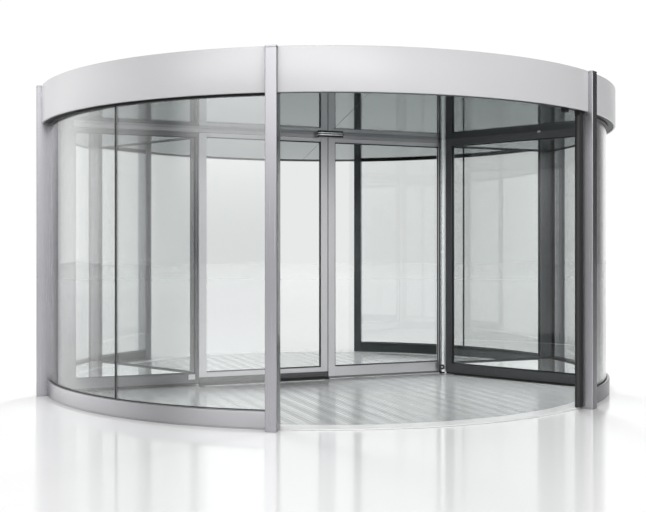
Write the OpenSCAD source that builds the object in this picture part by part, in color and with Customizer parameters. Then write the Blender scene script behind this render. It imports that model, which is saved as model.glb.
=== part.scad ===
// Large automatic revolving door with two glazed showcases and a sliding door between them.
// Millimetres, +Z up, origin on the floor at the centre of the drum.
// The outer doorway faces -Y, the inner doorway faces +Y, and the facade joins the posts on +X and -X.

/* [Drum] */
// Outside radius of the fascia
canopy_r = 2490; // [2490:10:2700]
// Overall height
door_h = 2500; // [2400:10:2800]
// Clear height under the fascia
clear_h = 2200; // [2100:10:2300]
// Angle from a doorway's centre line to the middle of its posts
doorway_half = 30; // [26:1:32]
// Width of a post along the wall
post_w = 80; // [60:5:90]
// How far a post stands out past the fascia
post_proud = 35; // [20:5:50]
// Height of the plinth under the drum glass
plinth_h = 120; // [80:5:160]
// Thickness of the curved drum glass
drum_glass_t = 12; // [10:1:14]
// Thickness of the mat and the floor ring
mat_t = 12; // [8:1:16]

/* [Rotor] */
// Outside radius of the turning ceiling and of the brush tips
rotor_r = 2394; // [2380:1:2394]
// Underside of the turning ceiling
ceiling_z = 2210; // [2205:5:2240]
// Thickness of the turning ceiling
ceiling_t = 30; // [20:5:50]
// Thickness of the showcase panels
panel_t = 50; // [40:2:60]
// Height of a showcase bottom rail
rail_h = 80; // [60:5:100]
// Depth of a top rail below the turning ceiling
top_rail_h = 62; // [50:2:80]
// Angle between a wing panel and the line of the sliding door
wing_angle = 62; // [55:1:65]
// Length of a showcase end column
end_len = 140; // [120:10:160]

/* [Sliding door] */
// Width of one sliding leaf
leaf_w = 1184; // [1150:2:1200]
// Thickness of a sliding leaf
leaf_t = 40; // [36:2:44]
// Width of a leaf stile
stile_w = 65; // [50:5:75]
// Depth of the guide skirt in front of a leaf
skirt_depth = 50; // [30:5:60]

/* [Hidden] */
$fn = 180;
far = 3000;
// Clearance between pieces that move past each other
run_gap = 6;

// Drum radii, from the inside out
post_in = 2400;
post_out = canopy_r + post_proud;
glass_in = post_in + 6;
plinth_out = post_in + 43;
fascia_t = 6;
lip_w = 15;
roof_return = 35;
recess_out = canopy_r - lip_w;
ring_in = 2300;
ring_out_doorway = 2428;

// Wall angles: each wall is two quarters, and each quarter is two panes
side_right = 0;
rear_right = 90 - doorway_half;
rear_left = 90 + doorway_half;
side_left = 180;
front_left = 270 - doorway_half;
front_right = 270 + doorway_half;
QUARTERS_RIGHT = [[front_right - 360, side_right], [side_right, rear_right]];
QUARTERS_LEFT = [[rear_left, side_left], [side_left, front_left]];
QUARTERS = concat(QUARTERS_RIGHT, QUARTERS_LEFT);
POST_ANGLES = [side_right, rear_right, rear_left, side_left, front_left, front_right];

// Drum heights
gasket_h = 6;
gasket_w = 18;
channel_z = clear_h - 10;
channel_out = 2430;
recess_z = clear_h + 5;
recess_t = 30;
joint_w = 14;

// Roof and the bearing that carries the rotor
roof_t = 20;
roof_z = door_h - fascia_t - roof_t - 1;
roof_r = canopy_r - fascia_t - 4;
hub_r = 120;
hub_flange_r = 220;
hub_flange_t = 20;
bearing_clear = 0.1;
bearing_r = 200;
bearing_t = 40;

// Safety bumper on the closing post of the outer doorway
bumper_in = 2403;
bumper_w = 46;
bumper_proud = 60;
bumper_z = mat_t + 2;
bumper_top = 2170;
bumper_cap_w = 50;

// Showcase levels
brush_z = mat_t + run_gap;
rail_z = 35;
rail_top = rail_z + rail_h;
top_rail_z = ceiling_z - top_rail_h;
plate_t = 20;
base_top = rail_top - 3;
soffit_z = top_rail_z + 2;

// Showcase plan, drawn for the +X showcase and turned by 180 degrees for the other
slide_gap = 8;
panel_in = leaf_t / 2 + slide_gap;
panel_out = panel_in + panel_t;
panel_mid = (panel_in + panel_out) / 2;
nose_r = 2357;
curve_out = nose_r - 3;
curve_t = 32;
curve_in = curve_out - curve_t;
curve_glass_in = curve_in + 11;
pane_t = 10;
corner_x = 1160;
corner_w = 40;
corner_y = 85;
inner_stile_w = 47;
nose_w = 20;
brush_t = 12;

// Wing panel: a straight line from the corner, with u along it and v across it into the showcase
ux = cos(wing_angle);
uy = -sin(wing_angle);
vx = sin(wing_angle);
vy = cos(wing_angle);
wing_along = corner_x * ux - corner_y * uy;
wing_mid_sq = pow(corner_x + vx * panel_t / 2, 2) + pow(corner_y - vy * panel_t / 2, 2);
wing_len = floor(sqrt(wing_along * wing_along - wing_mid_sq + nose_r * nose_r) - wing_along);
wing_tip = sqrt(wing_along * wing_along - wing_mid_sq + rotor_r * rotor_r) - wing_along - 1;

// Header, sliding leaves and sensors
header_h = 25;
header_w = 2 * panel_in;
header_len = 4470;
leaf_top = ceiling_z - header_h - 5;
leaf_rail_z = 38;
leaf_rail_top = 125;
meeting_gap = 3;
skirt_top = 86;
skirt_lip_h = 18;
skirt_lip_depth = 30;
sensor_w = 260;
sensor_depth = 90;
sensor_h = 30;
sensor_off = 75;

// ---------- Shared shapes ----------

// Part of a ring, from angle a0 to angle a1
module ring_arc(r_in, r_out, z_low, z_high, a0, a1) {
    rotate([0, 0, a0])
        rotate_extrude(angle = a1 - a0)
            translate([r_in, z_low])
                square([r_out - r_in, z_high - z_low]);
}

// The space that a post takes in the wall, a little deeper than the post towards the rotor
module post_blank(angle) {
    rotate([0, 0, angle])
        translate([post_in - run_gap, -post_w / 2, -1])
            cube([post_out - post_in + run_gap, post_w, door_h + 2]);
}

// A ring arc trimmed to the flat sides of the posts at its two ends
module wall_arc(r_in, r_out, z_low, z_high, a0, a1) {
    difference() {
        ring_arc(r_in, r_out, z_low, z_high, a0, a1);
        post_blank(a0);
        post_blank(a1);
    }
}

// ---------- Fixed drum ----------

module entrance_mat() {
    color("darkgray")
        cylinder(h = mat_t, r = ring_in - 1);
}

module floor_ring() {
    color("silver")
        union() {
            difference() {
                cylinder(h = mat_t, r = post_in - 1);
                translate([0, 0, -1])
                    cylinder(h = mat_t + 2, r = ring_in);
            }
            for (a = [90, 270])
                wall_arc(post_in - 2, ring_out_doorway, 0, mat_t, a - doorway_half, a + doorway_half);
        }
}

module plinth(quarters) {
    color("gray")
        for (q = quarters)
            wall_arc(post_in, plinth_out, 0, plinth_h, q[0], q[1]);
}

// Each quarter has two panes with a silicone joint between them
module wall_glass(quarters) {
    half_joint = asin(joint_w / 2 / glass_in);
    color("lightcyan", 0.4)
        for (q = quarters) {
            middle = (q[0] + q[1]) / 2;
            difference() {
                wall_arc(glass_in, glass_in + drum_glass_t, plinth_h + gasket_h, channel_z, q[0], q[1]);
                ring_arc(glass_in - 1, glass_in + drum_glass_t + 1, plinth_h, channel_z + 1,
                    middle - half_joint, middle + half_joint);
            }
        }
}

module glass_gaskets() {
    gasket_in = glass_in + (drum_glass_t - gasket_w) / 2;
    color("black")
        for (q = QUARTERS)
            wall_arc(gasket_in, gasket_in + gasket_w, plinth_h, plinth_h + gasket_h, q[0], q[1]);
}

module silicone_joints() {
    half_joint = asin(joint_w / 2 / glass_in);
    color("black")
        for (q = QUARTERS) {
            middle = (q[0] + q[1]) / 2;
            ring_arc(glass_in - 1, glass_in + drum_glass_t + 1, plinth_h + gasket_h, channel_z,
                middle - half_joint, middle + half_joint);
        }
}

// Dark recess over the walls and doorways, with the glass channel under it along the walls
module head_ring() {
    color("black")
        union() {
            for (i = [0 : 5])
                wall_arc(post_in, recess_out, recess_z, recess_z + recess_t,
                    POST_ANGLES[i], POST_ANGLES[i] + (i == 1 || i == 4 ? 2 * doorway_half : 90 - doorway_half));
            for (q = QUARTERS)
                wall_arc(post_in, channel_out, channel_z, recess_z + 1, q[0], q[1]);
        }
}

module post(angle) {
    edge = 4;
    rotate([0, 0, angle])
        linear_extrude(door_h)
            polygon([
                [post_in, -post_w / 2],
                [post_out - edge, -post_w / 2],
                [post_out, -post_w / 2 + edge],
                [post_out, post_w / 2 - edge],
                [post_out - edge, post_w / 2],
                [post_in, post_w / 2]
            ]);
}

module posts(angles) {
    color("gray")
        for (a = angles)
            post(a);
}

// Bent sheet: a tall face with a narrow lip below and a return over the roof
module fascia(spans) {
    color("whitesmoke")
        for (s = spans)
            difference() {
                rotate([0, 0, s[0]])
                    rotate_extrude(angle = s[1] - s[0])
                        polygon([
                            [recess_out, clear_h],
                            [canopy_r, clear_h],
                            [canopy_r, door_h],
                            [canopy_r - roof_return, door_h],
                            [canopy_r - roof_return, door_h - fascia_t],
                            [canopy_r - fascia_t, door_h - fascia_t],
                            [canopy_r - fascia_t, clear_h + fascia_t],
                            [recess_out, clear_h + fascia_t]
                        ]);
                post_blank(s[0]);
                post_blank(s[1]);
            }
}

module canopy_roof() {
    color("lightgray")
        difference() {
            translate([0, 0, roof_z])
                cylinder(h = roof_t, r = roof_r);
            for (a = POST_ANGLES)
                post_blank(a);
        }
}

module roof_bearing() {
    color("dimgray")
        translate([0, 0, roof_z - bearing_t])
            difference() {
                cylinder(h = bearing_t, r = bearing_r);
                translate([0, 0, -1])
                    cylinder(h = bearing_t + 2, r = hub_r + bearing_clear);
            }
}

// Half-round rubber tube down the doorway side of a post, with its bracket above
module safety_bumpers() {
    middle = bumper_in + bumper_w / 2;
    flat = bumper_proud - bumper_w / 2;
    color("black")
        rotate([0, 0, front_right])
            translate([middle, -post_w / 2, 0]) {
                translate([0, 0, bumper_z])
                    linear_extrude(bumper_top - bumper_z)
                        union() {
                            translate([0, -flat])
                                circle(r = bumper_w / 2);
                            translate([-bumper_w / 2, -flat])
                                square([bumper_w, flat]);
                        }
                translate([-bumper_w / 2, -bumper_cap_w, bumper_top + 1])
                    cube([bumper_w, bumper_cap_w, recess_z - bumper_top - 1]);
            }
}

// ---------- Rotor ----------

module rotor_ceiling() {
    color("darkgray")
        translate([0, 0, ceiling_z])
            cylinder(h = ceiling_t, r = rotor_r);
}

module rotor_hub() {
    color("dimgray")
        translate([0, 0, ceiling_z + ceiling_t])
            union() {
                cylinder(h = hub_flange_t, r = hub_flange_r);
                cylinder(h = roof_z - run_gap - ceiling_z - ceiling_t, r = hub_r);
            }
}

module header_track() {
    color("gray")
        translate([-header_len / 2, -header_w / 2, ceiling_z - header_h])
            cube([header_len, header_w, header_h]);
}

// One presence sensor under the ceiling on each side of the sliding door
module door_sensors() {
    end_r = sensor_depth / 2;
    color("black")
        for (a = [0, 180])
            rotate([0, 0, a])
                translate([0, -sensor_off, ceiling_z - sensor_h])
                    union() {
                        translate([-(sensor_w - sensor_depth) / 2, -end_r, 0])
                            cube([sensor_w - sensor_depth, sensor_depth, sensor_h]);
                        for (x = [-1, 1])
                            translate([x * (sensor_w - sensor_depth) / 2, 0, 0])
                                cylinder(h = sensor_h, r = end_r);
                    }
}

// ---------- Showcase plan, in two dimensions ----------

// Puts a shape drawn along +X from 0 onto the wing panel, with its front face on y = 0
module on_wing() {
    translate([corner_x, -corner_y])
        rotate(-wing_angle)
            children();
}

// Everything between a line beside the side panel and a line beside the wing panel
module wedge(side_y, wing_off) {
    s = (side_y + corner_y - wing_off * vy) / uy;
    apex_x = corner_x + wing_off * vx + s * ux;
    polygon([[apex_x, side_y], [apex_x + far * ux, side_y + far * uy], [far, side_y]]);
}

// Section of an end column: straight where it meets the panel, then both faces curve in to the nose
module end_section() {
    drop = (panel_t - nose_w) / 2;
    face_r = (end_len * end_len + drop * drop) / (2 * drop);
    intersection() {
        translate([0, face_r - panel_t / 2])
            circle(r = face_r);
        translate([0, panel_t / 2 - face_r])
            circle(r = face_r);
        translate([0, -panel_t / 2])
            square([end_len, panel_t]);
    }
}

module side_end_plan() {
    translate([nose_r - end_len, -panel_mid])
        end_section();
}

module wing_end_plan() {
    on_wing()
        translate([wing_len - end_len, panel_t / 2])
            end_section();
}

// Corner column with the inner stiles of both panels
module corner_plan() {
    lap = 2;
    union() {
        translate([corner_x - corner_w, -corner_y])
            square([corner_w + lap, corner_y - panel_in]);
        translate([corner_x, -panel_out])
            square([inner_stile_w, panel_t]);
        on_wing()
            translate([-corner_w / 4, 0])
                square([stile_w + corner_w / 4, panel_t]);
    }
}

module side_strip_plan(t) {
    difference() {
        translate([corner_x + inner_stile_w, -panel_mid - t / 2])
            square([nose_r - end_len - corner_x - inner_stile_w, t]);
        corner_plan();
    }
}

module wing_strip_plan(t) {
    on_wing()
        translate([stile_w, (panel_t - t) / 2])
            square([wing_len - end_len - stile_w, t]);
}

// A strip along the drum side of the showcase, up to its two end columns
module curved_strip_plan(r_in, r_out) {
    difference() {
        intersection() {
            difference() {
                circle(r = r_out);
                circle(r = r_in);
            }
            wedge(-panel_mid, panel_t / 2);
        }
        side_end_plan();
        wing_end_plan();
    }
}

module plate_plan() {
    intersection() {
        circle(r = curve_in);
        wedge(-panel_out, panel_t);
    }
}

// ---------- Showcase pieces ----------

module showcase_base() {
    color("white")
        translate([0, 0, base_top - plate_t])
            linear_extrude(plate_t)
                difference() {
                    plate_plan();
                    corner_plan();
                    side_end_plan();
                    wing_end_plan();
                }
}

module showcase_soffit() {
    color("white")
        translate([0, 0, soffit_z])
            linear_extrude(plate_t)
                difference() {
                    plate_plan();
                    corner_plan();
                    side_end_plan();
                    wing_end_plan();
                }
}

module showcase_posts() {
    color("gray")
        translate([0, 0, rail_z])
            linear_extrude(ceiling_z - rail_z) {
                corner_plan();
                side_end_plan();
                wing_end_plan();
            }
}

module rails(z_low, height) {
    translate([0, 0, z_low])
        linear_extrude(height) {
            side_strip_plan(panel_t);
            wing_strip_plan(panel_t);
            curved_strip_plan(curve_in, curve_out);
        }
}

module showcase_bottom_rails() {
    color("gray")
        rails(rail_z, rail_h);
}

module showcase_top_rails() {
    color("gray")
        rails(top_rail_z, top_rail_h);
}

module showcase_flat_glass() {
    color("lightcyan", 0.4)
        translate([0, 0, rail_top])
            linear_extrude(top_rail_z - rail_top) {
                side_strip_plan(pane_t);
                wing_strip_plan(pane_t);
            }
}

module showcase_curved_glass() {
    color("lightcyan", 0.4)
        translate([0, 0, rail_top])
            linear_extrude(top_rail_z - rail_top)
                curved_strip_plan(curve_glass_in, curve_glass_in + pane_t);
}

// Brushes from the noses to the drum wall, and under the rails down to the mat
module showcase_brushes() {
    color("black")
        union() {
            translate([nose_r, -panel_mid - brush_t / 2, brush_z])
                cube([rotor_r - 1 - nose_r, brush_t, ceiling_z - brush_z]);
            translate([corner_x - corner_w, -panel_mid - brush_t / 2, brush_z])
                cube([nose_r - corner_x + corner_w, brush_t, rail_z - brush_z]);
            translate([0, 0, brush_z]) {
                linear_extrude(ceiling_z - brush_z)
                    on_wing()
                        translate([wing_len, (panel_t - brush_t) / 2])
                            square([wing_tip - wing_len, brush_t]);
                linear_extrude(rail_z - brush_z)
                    on_wing()
                        translate([0, (panel_t - brush_t) / 2])
                            square([wing_len, brush_t]);
            }
        }
}

// ---------- Sliding leaves, drawn for the +X leaf, which shows its back to the front doorway ----------

module leaf_frame() {
    color("gray")
        translate([meeting_gap, -leaf_t / 2, leaf_rail_z])
            difference() {
                cube([leaf_w, leaf_t, leaf_top - leaf_rail_z]);
                translate([stile_w, -1, leaf_rail_top - leaf_rail_z])
                    cube([leaf_w - 2 * stile_w, leaf_t + 2, top_rail_z - leaf_rail_top]);
            }
}

module leaf_glass() {
    color("lightcyan", 0.4)
        translate([meeting_gap + stile_w, -pane_t / 2, leaf_rail_top])
            cube([leaf_w - 2 * stile_w, pane_t, top_rail_z - leaf_rail_top]);
}

// Floor guide skirt on the leaf's outer face, with a flared lip at its foot and the brush under the leaf
module leaf_skirt() {
    face = leaf_t / 2;
    color("black")
        translate([meeting_gap, 0, 0])
            rotate([90, 0, 90])
                linear_extrude(leaf_w)
                    polygon([
                        [-brush_t / 2, brush_z],
                        [face + skirt_depth, brush_z],
                        [face + skirt_depth, brush_z + skirt_lip_h],
                        [face + skirt_depth - skirt_lip_depth, brush_z + skirt_lip_h + skirt_lip_depth / 2],
                        [face + skirt_depth - skirt_lip_depth, skirt_top],
                        [face, skirt_top],
                        [face, leaf_rail_z],
                        [-brush_t / 2, leaf_rail_z]
                    ]);
}

// The same piece on the other side of the rotor's axis
module opposite() {
    rotate([0, 0, 180])
        children();
}

entrance_mat();
floor_ring();
plinth(QUARTERS_LEFT);  // plinth_left
plinth(QUARTERS_RIGHT);  // plinth_right
wall_glass(QUARTERS_LEFT);  // wall_glass_left
wall_glass(QUARTERS_RIGHT);  // wall_glass_right
glass_gaskets();
silicone_joints();
head_ring();
posts([front_left, front_right]);  // front_posts
posts([rear_left, rear_right]);  // rear_posts
posts([side_left, side_right]);  // side_posts
fascia([[front_left, front_right]]);  // fascia_front
fascia([[rear_right, rear_left]]);  // fascia_rear
fascia(QUARTERS_LEFT);  // fascia_left
fascia(QUARTERS_RIGHT);  // fascia_right
canopy_roof();
roof_bearing();
safety_bumpers();
rotor_ceiling();
rotor_hub();
header_track();
door_sensors();
showcase_base();  // showcase_right_base
showcase_soffit();  // showcase_right_soffit
showcase_posts();  // showcase_right_posts
showcase_bottom_rails();  // showcase_right_bottom_rails
showcase_top_rails();  // showcase_right_top_rails
showcase_flat_glass();  // showcase_right_flat_glass
showcase_curved_glass();  // showcase_right_curved_glass
showcase_brushes();  // showcase_right_brushes
opposite() showcase_base();  // showcase_left_base
opposite() showcase_soffit();  // showcase_left_soffit
opposite() showcase_posts();  // showcase_left_posts
opposite() showcase_bottom_rails();  // showcase_left_bottom_rails
opposite() showcase_top_rails();  // showcase_left_top_rails
opposite() showcase_flat_glass();  // showcase_left_flat_glass
opposite() showcase_curved_glass();  // showcase_left_curved_glass
opposite() showcase_brushes();  // showcase_left_brushes
opposite() leaf_frame();  // leaf_left_frame
opposite() leaf_glass();  // leaf_left_glass
opposite() leaf_skirt();  // leaf_left_skirt
leaf_frame();  // leaf_right_frame
leaf_glass();  // leaf_right_glass
leaf_skirt();  // leaf_right_skirt
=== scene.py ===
import math
import bmesh
import bpy
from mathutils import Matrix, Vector


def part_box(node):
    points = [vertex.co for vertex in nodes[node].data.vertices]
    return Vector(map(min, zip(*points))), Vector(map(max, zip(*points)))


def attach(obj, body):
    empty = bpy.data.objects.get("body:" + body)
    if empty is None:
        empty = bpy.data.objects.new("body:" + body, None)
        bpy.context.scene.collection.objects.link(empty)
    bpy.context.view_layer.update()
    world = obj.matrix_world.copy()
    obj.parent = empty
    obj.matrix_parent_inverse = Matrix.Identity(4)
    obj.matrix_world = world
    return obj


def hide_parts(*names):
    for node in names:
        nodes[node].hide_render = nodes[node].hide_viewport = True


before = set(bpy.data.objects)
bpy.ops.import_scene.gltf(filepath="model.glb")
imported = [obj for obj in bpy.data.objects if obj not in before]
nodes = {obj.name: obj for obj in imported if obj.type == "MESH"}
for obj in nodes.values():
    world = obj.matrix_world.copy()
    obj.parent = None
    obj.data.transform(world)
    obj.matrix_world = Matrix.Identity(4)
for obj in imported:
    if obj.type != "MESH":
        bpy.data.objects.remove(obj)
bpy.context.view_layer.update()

# ---------------------------------------------------------------------------------------------
# Camera: standing outside, a little to the left of the outer doorway, at chest height, with a
# slightly long lens that looks level at the door.
# ---------------------------------------------------------------------------------------------
eye_distance = 8.7606
eye_height = 1.1755
eye_turn = math.radians(-21.7)
gaze_turn = math.radians(-21.45)
lens_length = 54.12
frame_shift = -0.0092
camera_data = bpy.data.cameras.new("view_camera")
camera_data.sensor_width = 36.0
camera_data.lens = lens_length
camera_data.shift_y = frame_shift
camera_data.clip_start = 0.1
camera_data.clip_end = 200.0
camera = bpy.data.objects.new("view_camera", camera_data)
camera.location = (eye_distance * math.sin(eye_turn), -eye_distance * math.cos(eye_turn), eye_height)
camera.rotation_euler = (math.radians(90.0), 0.0, gaze_turn)
bpy.context.scene.collection.objects.link(camera)
bpy.context.scene.camera = camera

# ---------------------------------------------------------------------------------------------
# Studio: a pale polished floor and a white surround with two soft panels of light. The surround
# is even for diffuse light, and what metal and glass mirror of it has broad bright and dim sides.
# It is not part of the door.
# ---------------------------------------------------------------------------------------------


def make_node(tree, kind, **values):
    """A new shader node, with its inputs or its own settings given by name."""
    made = tree.nodes.new(kind)
    for key, value in values.items():
        if key in made.inputs:
            made.inputs[key].default_value = value
        else:
            setattr(made, key, value)
    return made


class Finish:
    """A material in the making: its Principled shader, and short ways to lay textures on it."""

    def __init__(self, name, sockets=None):
        self.material = bpy.data.materials.new(name)
        self.material.use_nodes = True
        self.tree = self.material.node_tree
        self.shader = self.tree.nodes["Principled BSDF"]
        self.link = self.tree.links.new
        for socket, value in (sockets or {}).items():
            self.shader.inputs[socket].default_value = value

    def add(self, kind, **values):
        return make_node(self.tree, kind, **values)

    def place(self):
        """Where each point lies in the model, to put a texture by."""
        return self.add("ShaderNodeTexCoord").outputs["Object"]

    def noise(self, scale, detail, roughness=0.5, stretch=None):
        """A noise texture's value, drawn out along X, Y and Z if stretch says so."""
        where = self.place()
        if stretch:
            drawn = self.add("ShaderNodeMapping", Scale=stretch)
            self.link(where, drawn.inputs["Vector"])
            where = drawn.outputs["Vector"]
        made = self.add("ShaderNodeTexNoise", Scale=scale, Detail=detail, Roughness=roughness)
        self.link(where, made.inputs["Vector"])
        return made.outputs["Fac"]

    def ramp(self, value, dark, light):
        """A colour between two others, by a texture's value."""
        made = self.add("ShaderNodeValToRGB")
        made.color_ramp.elements[0].color = (*dark, 1)
        made.color_ramp.elements[1].color = (*light, 1)
        self.link(value, made.inputs["Fac"])
        return made.outputs["Color"]

    def colour(self, made):
        """Takes the base colour from a node's output."""
        self.link(made, self.shader.inputs["Base Color"])

    def drift(self, value, colour, share):
        """One base colour that wanders a little darker and lighter by a texture's value."""
        tone = self.add("ShaderNodeMix", data_type="RGBA")
        tone.inputs[6].default_value = (*[c * (1 - share) for c in colour], 1)
        tone.inputs[7].default_value = (*[min(1.0, c * (1 + share)) for c in colour], 1)
        self.link(value, tone.inputs[0])
        self.colour(tone.outputs[2])

    def gloss(self, value, least, most):
        """Roughness that wanders between two values by a texture's value."""
        made = self.add("ShaderNodeMapRange", **{"To Min": least, "To Max": most})
        self.link(value, made.inputs["Value"])
        self.link(made.outputs["Result"], self.shader.inputs["Roughness"])

    def relief(self, value, strength, distance):
        """A fine relief raised by a texture's value."""
        made = self.add("ShaderNodeBump", Strength=strength, Distance=distance)
        self.link(value, made.inputs["Height"])
        self.link(made.outputs["Normal"], self.shader.inputs["Normal"])


floor_half = 70.0
floor_corners = [(-floor_half, -floor_half, 0), (floor_half, -floor_half, 0),
                 (floor_half, floor_half, 0), (-floor_half, floor_half, 0)]
floor_mesh = bpy.data.meshes.new("studio_floor")
floor_mesh.from_pydata(floor_corners, [], [(0, 1, 2, 3)])
studio_floor = bpy.data.objects.new("studio_floor", floor_mesh)
studio_floor.location.z = -0.001
bpy.context.scene.collection.objects.link(studio_floor)
floor_gloss = Finish("studio_floor_gloss", {"Base Color": (0.84, 0.84, 0.843, 1),
                                            "Roughness": 0.10, "IOR": 1.42})
floor_mesh.materials.append(floor_gloss.material)

world = bpy.data.worlds.new("studio_world")
world.use_nodes = True
bpy.context.scene.world = world
sky = world.node_tree
sky.nodes.clear()
ray = make_node(sky, "ShaderNodeTexCoord")


def sky_band(towards, dim_at, bright_at, dim, bright):
    """A soft step in the mirrored surround's brightness towards one side, as a node output."""
    facing = make_node(sky, "ShaderNodeVectorMath", operation="DOT_PRODUCT")
    facing.inputs[1].default_value = towards
    sky.links.new(ray.outputs["Generated"], facing.inputs[0])
    step = make_node(sky, "ShaderNodeMapRange", interpolation_type="SMOOTHSTEP",
                     **{"From Min": dim_at, "From Max": bright_at, "To Min": dim, "To Max": bright})
    sky.links.new(facing.outputs["Value"], step.inputs["Value"])
    return step.outputs["Result"]


def sky_join(first, second, operation="ADD"):
    """Two of the surround's brightness bands added together, or one scaled by the other."""
    both = make_node(sky, "ShaderNodeMath", operation=operation)
    sky.links.new(first, both.inputs[0])
    sky.links.new(second, both.inputs[1])
    return both.outputs[0]


behind = sky_band((0.0, 1.0, 0.0), 0.32, 0.72, 0.45, 1.18)
left = sky_band((-0.85, 0.53, 0.0), 0.82, 0.98, 0.0, 1.30)
right = sky_band((1.0, 0.0, 0.0), 0.66, 0.95, 0.0, -0.42)
front = sky_band((0.10, -0.995, 0.0), 0.80, 0.97, 0.0, 0.85)
window = sky_join(sky_band((-0.60, -0.80, 0.0), 0.66, 0.88, 0.0, 1.0),
                  sky_band((0.0, 0.0, 1.0), 0.0, 0.24, 0.0, 3.6), "MULTIPLY")
mirrored = sky_join(sky_join(sky_join(behind, left), right), sky_join(window, front))
even_strength = 0.89
backdrop_strength = 1.02
white = (1.0, 1.0, 1.0, 1)
seen = make_node(sky, "ShaderNodeLightPath")
strength = make_node(sky, "ShaderNodeMix")
strength.inputs[2].default_value = even_strength
sky.links.new(seen.outputs["Is Glossy Ray"], strength.inputs[0])
sky.links.new(mirrored, strength.inputs[3])
glow = make_node(sky, "ShaderNodeBackground", Color=white)
sky.links.new(strength.outputs[0], glow.inputs["Strength"])
backdrop = make_node(sky, "ShaderNodeBackground", Color=white, Strength=backdrop_strength)
chosen = make_node(sky, "ShaderNodeMixShader")
sky.links.new(seen.outputs["Is Camera Ray"], chosen.inputs[0])
sky.links.new(glow.outputs[0], chosen.inputs[1])
sky.links.new(backdrop.outputs[0], chosen.inputs[2])
out = make_node(sky, "ShaderNodeOutputWorld")
sky.links.new(chosen.outputs[0], out.inputs["Surface"])
bpy.context.scene.view_settings.view_transform = "Standard"
bpy.context.scene.cycles.transparent_max_bounces = 40


def soft_panel(name, place, aim, width, height, power):
    """A rectangular studio light at place that faces aim."""
    data = bpy.data.lights.new(name, "AREA")
    data.shape = "RECTANGLE"
    data.size = width
    data.size_y = height
    data.energy = power
    lamp = bpy.data.objects.new(name, data)
    lamp.location = place
    lamp.rotation_euler = (Vector(aim) - Vector(place)).to_track_quat("-Z", "Y").to_euler()
    lamp.visible_glossy = False
    bpy.context.scene.collection.objects.link(lamp)


soft_panel("panel_top", (0, 0, 8.0), (0, 0, 0), 9.0, 9.0, 200)
soft_panel("panel_front", (0.5, -9.0, 4.0), (0, 0, 0.4), 5.0, 3.0, 100)

# ---------------------------------------------------------------------------------------------
# Posts: six extruded aluminium posts, satin anodised, standing proud of the fascia from the
# floor to the roof edge. Two frame each doorway and two take the facade. Each has a capped top,
# and four have a thin, nearly black strip on their inner face that is painted shade for those faces.
# ---------------------------------------------------------------------------------------------
post_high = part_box("front_posts")[1].z
post_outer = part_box("side_posts")[1].x
post_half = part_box("side_posts")[1].y
post_inner = 2.400
post_corner = 0.006
post_angles = {"front_left": 240, "front_right": 300, "rear_right": 60,
               "rear_left": 120, "side_left": 180, "side_right": 0}


def anodised(name, colour, roughness, metallic=0.85, lines_at=(500.0, 500.0, 500.0)):
    """Anodised aluminium: etched grain or brush lines, a little drift in tone, and uneven gloss."""
    metal = Finish(name, {"Metallic": metallic})
    lines = metal.noise(1.0, 3.0, 0.6, lines_at)
    metal.drift(metal.noise(1.7, 2.0), colour, 0.04)
    metal.gloss(lines, roughness * 0.85, roughness * 1.15)
    metal.relief(lines, 0.04, 0.0004)
    return metal.material


def finish_piece(name, bm, material, body, replaced=(), bevel=0.0, sharp=32):
    """Makes a bmesh into a shown piece: cleaned, softly bevelled, shaded, and fixed to its body."""
    bmesh.ops.recalc_face_normals(bm, faces=bm.faces)
    mesh = bpy.data.meshes.new(name)
    bm.to_mesh(mesh)
    bm.free()
    for face in mesh.polygons:
        face.use_smooth = True
    mesh.set_sharp_from_angle(angle=math.radians(sharp))
    mesh.materials.append(material)
    piece = bpy.data.objects.new(name, mesh)
    bpy.context.scene.collection.objects.link(piece)
    if bevel:
        soften = piece.modifiers.new("edges", "BEVEL")
        soften.width = bevel
        soften.segments = 2
        soften.limit_method = "ANGLE"
        soften.angle_limit = math.radians(sharp)
        soften.harden_normals = True
    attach(piece, body)
    if replaced:
        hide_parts(*replaced)
    return piece


def join_loops(bm, loops):
    """A skin of four-sided faces from each loop of vertices to the next."""
    for here, there in zip(loops, loops[1:]):
        for k in range(len(here)):
            m = (k + 1) % len(here)
            bm.faces.new((here[k], here[m], there[m], there[k]))


def add_prism(bm, outline, low, high):
    """A closed upright prism on a plan outline, from one height to another."""
    foot = [bm.verts.new((x, y, low)) for x, y in outline]
    head = [bm.verts.new((x, y, high)) for x, y in outline]
    bm.faces.new(list(reversed(foot)))
    bm.faces.new(head)
    join_loops(bm, [foot, head])


def turn_plan(points, degrees):
    """Plan points turned about the drum's axis."""
    c = math.cos(math.radians(degrees))
    s = math.sin(math.radians(degrees))
    return [(x * c - y * s, x * s + y * c) for x, y in points]


def oblong(left, low, right, high):
    """The four corners of a rectangle, as a plan outline or as an (r, z) section."""
    return [(left, low), (right, low), (right, high), (left, high)]


def rounded_plan(points, radius, steps=4):
    """A plan outline with every corner rounded to an arc of the given radius."""
    made = []
    count = len(points)
    for i in range(count):
        before = Vector(points[i - 1])
        here = Vector(points[i])
        after = Vector(points[(i + 1) % count])
        a = (before - here).normalized()
        b = (after - here).normalized()
        half_angle = a.angle(b) / 2
        reach = radius / math.tan(half_angle)
        centre = here + (a + b).normalized() * (radius / math.sin(half_angle))
        first = here + a * reach - centre
        last = here + b * reach - centre
        for k in range(steps + 1):
            spoke = first.lerp(last, k / steps).normalized() * radius
            made.append(tuple(centre + spoke))
    return made


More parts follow.
